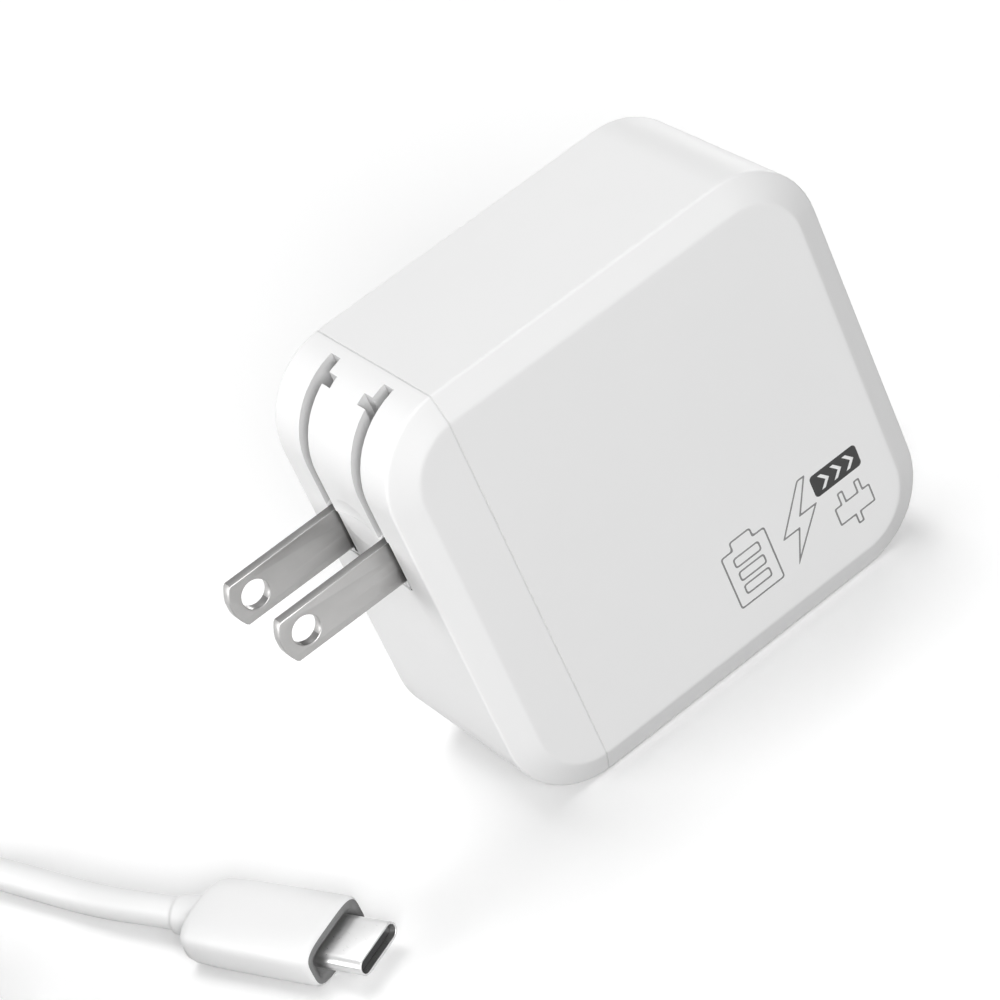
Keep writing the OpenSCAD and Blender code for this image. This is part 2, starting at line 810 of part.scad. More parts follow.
// Route from the coil to the far plug: it climbs along the outer turn, bends in and
// lies on the turns
tail_in = coil_out + coil_dir_out;
tail_r = norm([tail_in[0] - coil_at[0], tail_in[1] - coil_at[1]]);
tail_a0 = atan2(tail_in[1] - coil_at[1], tail_in[0] - coil_at[0]);
tail_a1 = tail_a0 + tail_rise_a;
tail_bend_a = acos((far_plug_in - tail_bend_r) / (tail_r - tail_bend_r));
tail_bend_at = coil_at + (tail_r - tail_bend_r) * [cos(tail_a1), sin(tail_a1)];
function tail_climb(u) = coil_out[2] + (far_plug_z - coil_out[2]) * u * u * (3 - 2 * u);
tail_dir = [-sin(tail_a1 + tail_bend_a), cos(tail_a1 + tail_bend_a), 0];
tail_path = concat([coil_out],
    [for (i = [0:8])
        let (a = tail_a0 + tail_rise_a * i / 8)
        [coil_at[0] + tail_r * cos(a), coil_at[1] + tail_r * sin(a), tail_climb(i / 8)]],
    [for (i = [1:5])
        let (a = tail_a1 + tail_bend_a * i / 5)
        [tail_bend_at[0] + tail_bend_r * cos(a), tail_bend_at[1] + tail_bend_r * sin(a),
            far_plug_z]]);
tail_end = tail_path[len(tail_path) - 1] + 2 * tail_dir;
far_tip = tail_end + (plug_l + grip_l + relief_l) * tail_dir;

module near_plug_shell() {
    color("Silver") plug_place(plug_tip, plug_dir) plug_shell();
}

module near_plug_grip() {
    color("White") plug_place(plug_tip, plug_dir) plug_grip();
}

module far_plug_shell() {
    color("Silver") plug_place(far_tip, tail_dir) plug_shell();
}

module far_plug_grip() {
    color("White") plug_place(far_tip, tail_dir) plug_grip();
}

module lead_run() {
    color("White")
    tube(run_path, [for (p = run_path) [0, 0, 1]], cord_d, 8);
}

module lead_coil() {
    color("White")
    tube(coil_path, [for (p = coil_path) [0, 0, 1]], cord_d, 6);
}

module lead_tail() {
    color("White")
    tube(concat(tail_path, [tail_end]), [for (p = [0:len(tail_path)]) [0, 0, 1]], cord_d, 8);
}

// Strap round the coil's turns, on the side away from both of its ends
module lead_tie() {
    r0 = coil_radius(0) - cord_d / 2 - 0.8;
    r1 = coil_radius(4) + cord_d / 2 + 0.1;
    z1 = layer_z + coil_pitch + cord_d / 2 + 0.05;
    color("LightGray")
    translate([coil_at[0], coil_at[1], 0])
        rotate([0, 0, coil_a0 + 90])
            difference() {
                slab([r0 - tie_t, -tie_w / 2, 0], [r1 + tie_t, tie_w / 2, z1 + tie_t]);
                slab([r0, -tie_w, tie_t], [r1, tie_w, z1]);
            }
}

// ---------- the parts ----------

main_shell();
end_cap();
blade_carrier();
blade_front();
blade_rear();
contact_front();
contact_rear();
contact_holder();
detent_spring();
main_board();
output_board();
fuse();
choke_core();
choke_winding();
noise_capacitor();
bridge_rectifier();
bulk_capacitors();
transformer_core();
transformer_bobbin();
transformer_winding();
power_chip();
safety_capacitor();
output_capacitors();
receptacle_shell();
receptacle_tongue();
front_heat_spreader();
rear_heat_spreader();
thermal_pad();
insulating_sheet();
near_plug_shell();
near_plug_grip();
far_plug_shell();
far_plug_grip();
lead_run();
lead_coil();
lead_tail();
lead_tie();
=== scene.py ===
# The looks of a foldable-blade laptop power adapter and its charging lead. Sizes are
# written in millimetres, as in the part's source, and scaled to metres on the way in.
import json
import math

import bmesh
import bpy
from mathutils import Matrix, Vector

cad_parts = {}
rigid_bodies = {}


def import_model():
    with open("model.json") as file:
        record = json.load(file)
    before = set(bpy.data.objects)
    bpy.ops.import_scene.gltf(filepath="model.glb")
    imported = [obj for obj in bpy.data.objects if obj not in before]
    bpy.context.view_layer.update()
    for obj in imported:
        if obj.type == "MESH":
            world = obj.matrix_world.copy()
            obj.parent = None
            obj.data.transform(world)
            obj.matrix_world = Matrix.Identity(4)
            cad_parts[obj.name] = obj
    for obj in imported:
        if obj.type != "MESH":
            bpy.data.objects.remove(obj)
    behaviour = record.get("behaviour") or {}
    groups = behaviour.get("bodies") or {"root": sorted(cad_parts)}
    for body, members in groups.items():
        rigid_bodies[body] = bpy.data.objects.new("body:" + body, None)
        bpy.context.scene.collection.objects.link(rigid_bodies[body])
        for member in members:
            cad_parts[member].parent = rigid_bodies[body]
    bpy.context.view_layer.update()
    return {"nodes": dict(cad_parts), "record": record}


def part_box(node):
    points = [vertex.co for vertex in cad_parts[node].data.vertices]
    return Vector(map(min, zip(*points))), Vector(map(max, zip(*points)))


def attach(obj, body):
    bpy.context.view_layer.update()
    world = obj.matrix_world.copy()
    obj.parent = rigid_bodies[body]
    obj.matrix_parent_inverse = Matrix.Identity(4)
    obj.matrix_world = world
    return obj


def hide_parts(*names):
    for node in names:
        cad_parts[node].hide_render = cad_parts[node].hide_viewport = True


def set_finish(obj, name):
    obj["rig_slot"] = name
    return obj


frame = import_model()
scene = bpy.context.scene
scene.view_settings.view_transform = "Standard"


# ---------- camera ----------
# A long lens, in front of the big face, above it and to its left. It is held rolled by
# about 25 degrees.

camera = bpy.data.objects.new("camera", bpy.data.cameras.new("camera"))
scene.collection.objects.link(camera)
right = Vector((0.76685, -0.53275, -0.35795))
up = Vector((0.57533, 0.32336, 0.75129))
back = right.cross(up)
camera.matrix_world = Matrix.Translation((-0.14567, -0.38265, 0.30548)) @ Matrix(
    (right, up, back)
).transposed().to_4x4()
camera.data.sensor_width = 36
camera.data.lens = 140
camera.data.clip_end = 20
scene.camera = camera


# ---------- charging lead: the cord ----------
# A white flexible cord, 4.5 mm across and about 1.5 m long. It comes out of the near
# plug, lies along the floor, and is stored in a coil of two layers past the view's edge.

MM = 0.001
CORD_D = 4.5
GRIP_L, RELIEF_L, PLUG_L, GRIP_T = 22, 4, 6.65, 6.6
PLUG_TIP = Vector((-52.5, -17.5, GRIP_T / 2))
PLUG_DIR = Vector((0.4, -0.9165, 0)).normalized()
BEND_AT, BEND_R, BEND_A = (-94.96, 40.84), 18, (18.65, 91.27)
COIL_AT, COIL_R, COIL_PITCH, COIL_HALF, COIL_A0 = (-129.8, 21.4), 15.5, 5.1, 4.25, 90
COIL_STEPS = 24
LAYER_Z = CORD_D / 2 + 0.45
END_RUN = 5
TAIL_RISE_A, TAIL_BEND_R, FAR_PLUG_IN = 60, 18, 27
FAR_PLUG_Z = LAYER_Z + COIL_PITCH + CORD_D / 2 + 0.1 + GRIP_T / 2


def eased(u):
    """Goes from 0 to 1 as u does, level at both ends."""
    return u * u * (3 - 2 * u)


def coil_radius(s):
    """The coil's radius s turns from its middle, where it passes to the upper layer."""
    return COIL_R + COIL_PITCH * (math.hypot(s, 0.1) - 0.1)


def coil_point(s):
    z = LAYER_Z + COIL_PITCH * eased(max(0, min(1, 2 * s + 0.5)))
    return on_circle(COIL_AT, coil_radius(s), COIL_A0 + 360 * (s + COIL_HALF), z)


def coil_heading(s):
    angle = math.radians(COIL_A0 + 360 * (s + COIL_HALF))
    dr, turn = math.copysign(COIL_PITCH, s), 2 * math.pi * coil_radius(s)
    return Vector((dr * math.cos(angle) - turn * math.sin(angle),
                   dr * math.sin(angle) + turn * math.cos(angle), 0)).normalized()


def on_circle(at, r, angle, z):
    """The point at an angle, in degrees, of a level circle."""
    angle = math.radians(angle)
    return Vector((at[0] + r * math.cos(angle), at[1] + r * math.sin(angle), z))


def lead_route():
    """The cord's whole route, and where the far plug's tip is and points."""
    start = PLUG_TIP - (PLUG_L + GRIP_L + RELIEF_L) * PLUG_DIR
    run = [(-69.2, 21, 2.9), (-70.7, 25, 2.6), (-72.1, 29, 2.4),
           (-73.4, 33, 2.3), (-74.7, 37, 2.25), (-76, 41, 2.25)]
    route = [start, start - END_RUN * PLUG_DIR] + [Vector(p) for p in run]
    for i in range(7):
        angle = BEND_A[0] + (BEND_A[1] - BEND_A[0]) * i / 6
        route.append(on_circle(BEND_AT, BEND_R, angle, CORD_D / 2 + 0.05 * i))
    turns = [coil_point(i / COIL_STEPS - COIL_HALF)
             for i in range(int(2 * COIL_STEPS * COIL_HALF) + 1)]
    coil_in = turns[0] - END_RUN * coil_heading(-COIL_HALF)
    coil_out = turns[-1] + END_RUN * coil_heading(COIL_HALF)
    route += [coil_in - END_RUN * coil_heading(-COIL_HALF), coil_in] + turns + [coil_out]
    # up along the outer turn, then inward over the turns
    arm = (coil_out + coil_heading(COIL_HALF)).xy - Vector(COIL_AT)
    a0 = math.degrees(math.atan2(arm.y, arm.x))
    for i in range(9):
        u = i / 8
        z = coil_out.z + (FAR_PLUG_Z - coil_out.z) * eased(u)
        route.append(on_circle(COIL_AT, arm.length, a0 + TAIL_RISE_A * u, z))
    a1 = a0 + TAIL_RISE_A
    bend_out = arm.length - TAIL_BEND_R
    bend = math.degrees(math.acos((FAR_PLUG_IN - TAIL_BEND_R) / bend_out))
    bend_at = on_circle(COIL_AT, bend_out, a1, 0)
    for i in range(1, 6):
        route.append(on_circle(bend_at, TAIL_BEND_R, a1 + bend * i / 5, FAR_PLUG_Z))
    far_heading = on_circle((0, 0), 1, a1 + bend + 90, 0)
    route.append(route[-1] + 2 * far_heading)
    return route, route[-1] + (PLUG_L + GRIP_L + RELIEF_L) * far_heading, far_heading


def link(name, data):
    piece = bpy.data.objects.new(name, data)
    scene.collection.objects.link(piece)
    return piece


def wire(name, points, diameter, sides=8):
    """A round wire or cord that follows the points, in millimetres."""
    curve = bpy.data.curves.new(name, "CURVE")
    curve.dimensions = "3D"
    spline = curve.splines.new("NURBS")
    spline.points.add(len(points) - 1)
    for point, p in zip(spline.points, points):
        point.co = (p[0] * MM, p[1] * MM, p[2] * MM, 1)
        # the points carry the wire's radius, which the curve's bounds are measured with
        point.radius = diameter / 2 * MM
    spline.order_u = 4
    spline.use_endpoint_u = True
    spline.resolution_u = 3
    curve.bevel_depth = 1
    curve.bevel_resolution = sides // 4
    curve.use_fill_caps = True
    return link(name, curve)


route, far_tip, far_heading = lead_route()
cord = wire("lead_cord", route, CORD_D, 20)
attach(cord, "adapter")
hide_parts("lead_run", "lead_coil", "lead_tail")
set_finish(cord, "lead_white")


# ---------- plugs of the lead ----------
# Each is a drawn steel shell with a dark contact block in it, moulded into a white grip
# that ends in a round collar for the cord.

def mesh_piece(name, bm, smooth=True):
    """A new mesh piece, in millimetres, from a bmesh."""
    mesh = bpy.data.meshes.new(name)
    bmesh.ops.scale(bm, vec=(MM, MM, MM), verts=bm.verts)
    bmesh.ops.recalc_face_normals(bm, faces=bm.faces)
    bm.to_mesh(mesh)
    bm.free()
    if smooth:
        mesh.shade_smooth()
    return link(name, mesh)


def loft(name, rings):
    """Skins rings of the same count of points, and closes both ends."""
    bm = bmesh.new()
    loops = [[bm.verts.new(p) for p in ring] for ring in rings]
    n = len(loops[0])
    for a, b in zip(loops, loops[1:]):
        for i in range(n):
            bm.faces.new((a[i], a[(i + 1) % n], b[(i + 1) % n], b[i]))
    bm.faces.new(loops[0])
    bm.faces.new(loops[-1])
    return mesh_piece(name, bm)


def oval(x, half_w, half_h, power, n=64):
    """A ring across X: a rectangle with rounded corners, rounder at a low power."""
    ring = []
    for i in range(n):
        c, s = math.cos(2 * math.pi * i / n), math.sin(2 * math.pi * i / n)
        ring.append(Vector((x, half_w * math.copysign(abs(c) ** (2 / power), c),
                            half_h * math.copysign(abs(s) ** (2 / power), s))))
    return ring


def stadium(w, h, n=16):
    """The outline of a slot with round ends, w wide and h high."""
    points = []
    for side, start in ((1, -90), (-1, 90)):
        for i in range(n + 1):
            a = math.radians(start + 180 * i / n)
            points.append((side * (w - h) / 2 + h / 2 * math.cos(a), h / 2 * math.sin(a)))
    return points


SHADED_SHARP = 35


def plate(name, outlines, thick, edge, segments=2):
    """A flat plate in XY, centred on Z, from its outline and holes, with eased edges."""
    curve = bpy.data.curves.new(name, "CURVE")
    curve.dimensions = "2D"
    curve.fill_mode = "BOTH"
    for outline in outlines:
        spline = curve.splines.new("POLY")
        spline.points.add(len(outline) - 1)
        for point, p in zip(spline.points, outline):
            point.co = (p[0] * MM, p[1] * MM, 0, 1)
        spline.use_cyclic_u = True
    curve.extrude = (thick / 2 - edge) * MM
    curve.bevel_depth = edge * MM
    curve.bevel_resolution = segments
    curve.offset = -edge * MM
    made = link(name + "_curve", curve)
    bpy.context.view_layer.update()
    mesh = bpy.data.meshes.new_from_object(
        made.evaluated_get(bpy.context.evaluated_depsgraph_get()))
    bpy.data.objects.remove(made)
    piece = link(name, mesh)
    bm = bmesh.new()
    bm.from_mesh(mesh)
    bmesh.ops.remove_doubles(bm, verts=bm.verts, dist=1e-7)
    bmesh.ops.recalc_face_normals(bm, faces=bm.faces)
    bm.to_mesh(mesh)
    bm.free()
    mesh.shade_smooth()
    mesh.set_sharp_from_angle(angle=math.radians(SHADED_SHARP))
    return piece


def place(piece, matrix):
    """Moves a piece's vertices by a matrix whose translation is in millimetres."""
    m = matrix.copy()
    m.translation = matrix.translation * MM
    piece.data.transform(m)
    return piece


def heading_matrix(tip, direction):
    """The place of a plug drawn with its tip at the origin, pointing along +X."""
    return Matrix.Translation(tip) @ Matrix.Rotation(math.atan2(direction.y, direction.x), 4, "Z")


# turns a plate's X to Y, its Y to Z and its thickness to X
ACROSS_X = Matrix(((0, 0, 1), (1, 0, 0), (0, 1, 0))).to_4x4()
# turns a plate's X to X, its Y to Z and its thickness to Y
ACROSS_Y = Matrix(((1, 0, 0), (0, 0, -1), (0, 1, 0))).to_4x4()


SHELL_W, SHELL_H, SHELL_T = 8.34, 2.56, 0.3
# the grip's rings: how far behind its front face, half width, half height and roundness
GRIP_RINGS = ((0.9, 4.7, 1.7, 5), (0.25, 4.75, 1.75, 5), (0, 5.2, 2.3, 5), (0.1, 5.75, 2.9, 4),
              (0.5, 6.05, 3.2, 4), (1.2, 6.15, 3.3, 3.8), (8, 6.15, 3.3, 3.8),
              (16, 6.1, 3.28, 3.8), (20.2, 5.95, 3.2, 3.6), (21.4, 5.7, 3.1, 3.2),
              (21.9, 5.2, 2.95, 2.8), (22, 4, 2.85, 2.4), (22.2, 3.3, 2.8, 2.1),
              (23.2, 2.95, 2.72, 2), (25.2, 2.8, 2.65, 2), (25.8, 2.7, 2.6, 2),
              (26, 2.4, 2.4, 2))


def make_plug(label, tip, direction):
    """A plug of the lead, as its shell, its contact block and its grip."""
    at = heading_matrix(tip, direction)
    inner = stadium(SHELL_W - 2 * SHELL_T, SHELL_H - 2 * SHELL_T)
    shell = plate(label + "_shell", [stadium(SHELL_W, SHELL_H), inner], PLUG_L + 1, 0.12, 3)
    place(shell, at @ Matrix.Translation((-PLUG_L / 2 - 0.5, 0, 0)) @ ACROSS_X)
    core = plate(label + "_core", [stadium(7.7, 1.92)], PLUG_L - 0.6, 0.1)
    place(core, at @ Matrix.Translation((-PLUG_L / 2 - 0.7, 0, 0)) @ ACROSS_X)
    grip = loft(label + "_grip", [oval(-PLUG_L - behind, half_w, half_h, power)
                                  for behind, half_w, half_h, power in GRIP_RINGS])
    place(grip, at)
    for piece, slot in ((shell, "port_metal"), (core, "dark_plastic"), (grip, "lead_white")):
        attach(piece, "adapter")
        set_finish(piece, slot)
    return shell, core, grip


near_plug = make_plug("near_plug", PLUG_TIP, PLUG_DIR)
far_plug = make_plug("far_plug", far_tip, far_heading)
for plug, label in ((near_plug, "near_plug"), (far_plug, "far_plug")):
    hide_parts(label + "_shell")
    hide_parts(label + "_grip")

# a soft strap round the coil
r0, r1 = coil_radius(0) - CORD_D / 2 - 0.8, coil_radius(4) + CORD_D / 2 + 0.1
top = LAYER_Z + COIL_PITCH + CORD_D / 2 + 0.05


def round_box(x0, x1, y0, y1, r, n=6):
    """A rectangle's outline with round corners."""
    points = []
    for cx, cy, start in ((x1 - r, y0 + r, -90), (x1 - r, y1 - r, 0),
                          (x0 + r, y1 - r, 90), (x0 + r, y0 + r, 180)):
        for i in range(n + 1):
            a = math.radians(start + 90 * i / n)
            points.append((cx + r * math.cos(a), cy + r * math.sin(a)))
    return points


tie = plate("lead_strap", [round_box(r0 - 0.4, r1 + 0.4, 0, top + 0.4, 1.6),
                           round_box(r0, r1, 0.4, top, 1.2)], 8, 0.1)
place(tie, Matrix.Translation((COIL_AT[0], COIL_AT[1], 0))
      @ Matrix.Rotation(math.radians(COIL_A0 + 90), 4, "Z") @ ACROSS_Y)
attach(tie, "adapter")
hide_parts("lead_tie")
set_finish(tie, "tie_strap")


# ---------- floor, world and lamps ----------
# A plain pale floor that shows white but for the soft shadow, also far from the lamps. Large
# soft lamps in front, at the left and above, a weak one behind at the right, and a dim room
# that is a little brighter at the back.

def add_node(tree, kind, **values):
    """A shader node with the given properties and socket values."""
    node = tree.nodes.new(kind)
    for key, value in values.items():
        if key in node.inputs:
            node.inputs[key].default_value = value
        else:
            setattr(node, key, value)
    return node


def new_material(name):
    material = bpy.data.materials.new(name)
    material.use_nodes = True
    tree = material.node_tree
    tree.nodes.clear()
    return material, tree, add_node(tree, "ShaderNodeOutputMaterial")


def seen_directly(tree):
    """A mask of 1 for camera, glossy and transmission rays, and 0 for the others."""
    path = add_node(tree, "ShaderNodeLightPath")
    both = add_node(tree, "ShaderNodeMath", operation="MAXIMUM")
    every = add_node(tree, "ShaderNodeMath", operation="MAXIMUM")
    tree.links.new(path.outputs["Is Camera Ray"], both.inputs[0])
    tree.links.new(path.outputs["Is Glossy Ray"], both.inputs[1])
    tree.links.new(both.outputs[0], every.inputs[0])
    tree.links.new(path.outputs["Is Transmission Ray"], every.inputs[1])
    return every.outputs[0]


FLOOR_HALF, FLOOR_BOUNCE, FLOOR_MATT, FLOOR_GLOW = 3, 0.05, 0.98, 0.13
FLOOR_FADE = (0.9, 1.8)
bm = bmesh.new()
bmesh.ops.create_grid(bm, x_segments=4, y_segments=4, size=FLOOR_HALF / MM)
floor = mesh_piece("floor", bm)
floor.location.z = -0.0001
material, tree, output = new_material("floor_paper")
matt = add_node(tree, "ShaderNodeBsdfDiffuse", Color=(FLOOR_BOUNCE, FLOOR_BOUNCE, FLOOR_BOUNCE, 1))
pale = add_node(tree, "ShaderNodeBsdfDiffuse", Color=(FLOOR_MATT, FLOOR_MATT, FLOOR_MATT, 1))
glow = add_node(tree, "ShaderNodeEmission")
spot = add_node(tree, "ShaderNodeTexCoord")
away = add_node(tree, "ShaderNodeVectorMath", operation="LENGTH")
fade = add_node(tree, "ShaderNodeMapRange")
fade.inputs["From Min"].default_value, fade.inputs["From Max"].default_value = FLOOR_FADE
fade.inputs["To Min"].default_value = FLOOR_GLOW
fade.inputs["To Max"].default_value = 1
tree.links.new(spot.outputs["Object"], away.inputs[0])
tree.links.new(away.outputs["Value"], fade.inputs["Value"])
tree.links.new(fade.outputs[0], glow.inputs["Strength"])
seen = add_node(tree, "ShaderNodeAddShader")
mix = add_node(tree, "ShaderNodeMixShader")
tree.links.new(pale.outputs[0], seen.inputs[0])
tree.links.new(glow.outputs[0], seen.inputs[1])
tree.links.new(seen_directly(tree), mix.inputs[0])
tree.links.new(matt.outputs[0], mix.inputs[1])
tree.links.new(seen.outputs[0], mix.inputs[2])
tree.links.new(mix.outputs[0], output.inputs[0])
floor.data.materials.append(material)

ROOM_BACK, ROOM_EDGE, ROOM_LOW, ROOM_HIGH = (-0.3, 0.8, 0.5), 0.8, 0.05, 0.22
world = bpy.data.worlds.new("studio")
scene.world = world
world.use_nodes = True
tree = world.node_tree
tree.nodes.clear()
output = add_node(tree, "ShaderNodeOutputWorld")
place_in = add_node(tree, "ShaderNodeTexCoord")
toward = add_node(tree, "ShaderNodeVectorMath", operation="DOT_PRODUCT")
toward.inputs[1].default_value = Vector(ROOM_BACK).normalized()
level = add_node(tree, "ShaderNodeMapRange")
level.inputs["From Min"].default_value = 0
level.inputs["From Max"].default_value = ROOM_EDGE
level.inputs["To Min"].default_value = ROOM_LOW
level.inputs["To Max"].default_value = ROOM_HIGH
room = add_node(tree, "ShaderNodeBackground", Color=(1, 1, 1, 1))
white = add_node(tree, "ShaderNodeBackground", Color=(1, 1, 1, 1), Strength=1)
mix = add_node(tree, "ShaderNodeMixShader")
tree.links.new(place_in.outputs["Generated"], toward.inputs[0])
tree.links.new(toward.outputs["Value"], level.inputs["Value"])
tree.links.new(level.outputs[0], room.inputs["Strength"])
tree.links.new(seen_directly(tree), mix.inputs[0])
tree.links.new(room.outputs[0], mix.inputs[1])
tree.links.new(white.outputs[0], mix.inputs[2])
tree.links.new(mix.outputs[0], output.inputs[0])

LAMP_AWAY = 2.5
# each lamp's name, direction, size and power
LAMPS = (("key_lamp", (-0.27, -0.85, 0.36), 1.7, 63),
         ("side_lamp", (-0.9, 0.36, 0.16), 1.8, 46),
         ("top_lamp", (0.12, 0.36, 1), 1.5, 25.5),
         ("fill_lamp", (0.8, 0.6, 0.1), 1, 26))
for name, direction, size, power in LAMPS:
    lamp = bpy.data.objects.new(name, bpy.data.lights.new(name, "AREA"))
    scene.collection.objects.link(lamp)
    lamp.location = Vector(direction).normalized() * LAMP_AWAY + Vector((0, 0, 0.03))
    lamp.rotation_euler = Vector(direction).to_track_quat("Z", "Y").to_euler()
    lamp.data.shape = "DISK"
    lamp.data.size = size
    lamp.data.energy = power


# ---------- materials ----------
# Every one is procedural. The moulded plastics, metals and films share one group, which
# puts out a slow mottle, a fine mask and the normal of a fine grain.

def make_grain():
    """Group: a fine grain stretched along one axis, as masks and as a normal."""
    group = bpy.data.node_groups.new("fine_grain", "ShaderNodeTree")
    face = group.interface
    for name, value in (("Grain", 4000), ("Mottle", 60), ("Depth", 0.2)):
        socket = face.new_socket(name, in_out="INPUT", socket_type="NodeSocketFloat")
        socket.default_value = value
    stretch = face.new_socket("Stretch", in_out="INPUT", socket_type="NodeSocketVector")
    stretch.default_value = (1, 1, 1)
    for name, kind in (("Slow", "Float"), ("Fine", "Float"), ("Normal", "Vector")):
        face.new_socket(name, in_out="OUTPUT", socket_type="NodeSocket" + kind)
    inside = group.nodes.new("NodeGroupInput")
    result = group.nodes.new("NodeGroupOutput")
    where = add_node(group, "ShaderNodeTexCoord")
    scaled = add_node(group, "ShaderNodeVectorMath", operation="MULTIPLY")
    slow = add_node(group, "ShaderNodeTexNoise", Detail=3)
    fine = add_node(group, "ShaderNodeTexNoise", Detail=2)
    bump = add_node(group, "ShaderNodeBump", Distance=0.00005)
    links = ((where.outputs["Object"], scaled.inputs[0]),
             (inside.outputs["Stretch"], scaled.inputs[1]),
             (where.outputs["Object"], slow.inputs["Vector"]),
             (scaled.outputs[0], fine.inputs["Vector"]),
             (inside.outputs["Mottle"], slow.inputs["Scale"]),
             (inside.outputs["Grain"], fine.inputs["Scale"]),
             (inside.outputs["Depth"], bump.inputs["Strength"]),
             (fine.outputs["Fac"], bump.inputs["Height"]),
             (slow.outputs["Fac"], result.inputs["Slow"]),
             (fine.outputs["Fac"], result.inputs["Fine"]),
             (bump.outputs["Normal"], result.inputs["Normal"]))
    for a, b in links:
        group.links.new(a, b)
    return group


GRAIN = make_grain()


def finish(name, dark, light, rough, grain=4000, mottle=60, depth=0.2, stretch=(1, 1, 1),
           metal=0, **own):
    """A finish between two colours and two roughnesses, with a grain in its surface."""
    material, tree, output = new_material(name)
    skin = add_node(tree, "ShaderNodeBsdfPrincipled", Metallic=metal, **own)
    texture = add_node(tree, "ShaderNodeGroup", node_tree=GRAIN)
    texture.inputs["Grain"].default_value = grain
    texture.inputs["Mottle"].default_value = mottle
    texture.inputs["Depth"].default_value = depth
    texture.inputs["Stretch"].default_value = stretch
    colour = add_node(tree, "ShaderNodeMix", data_type="RGBA")
    # a Mix node's colours are its sockets 6 and 7
    colour.inputs[6].default_value = (*dark, 1)
    colour.inputs[7].default_value = (*light, 1)
    gloss = add_node(tree, "ShaderNodeMapRange")
    gloss.inputs["To Min"].default_value = rough[0]
    gloss.inputs["To Max"].default_value = rough[1]
    tree.links.new(texture.outputs["Slow"], colour.inputs[0])
    tree.links.new(colour.outputs[2], skin.inputs["Base Color"])
    tree.links.new(texture.outputs["Fine"], gloss.inputs["Value"])
    tree.links.new(gloss.outputs[0], skin.inputs["Roughness"])
    tree.links.new(texture.outputs["Normal"], skin.inputs["Normal"])
    tree.links.new(skin.outputs[0], output.inputs[0])
    return material


def grey(value, warmth=0):
    """A grey, or a warm one."""
    return (value * (1 + warmth), value, value * (1 - warmth))


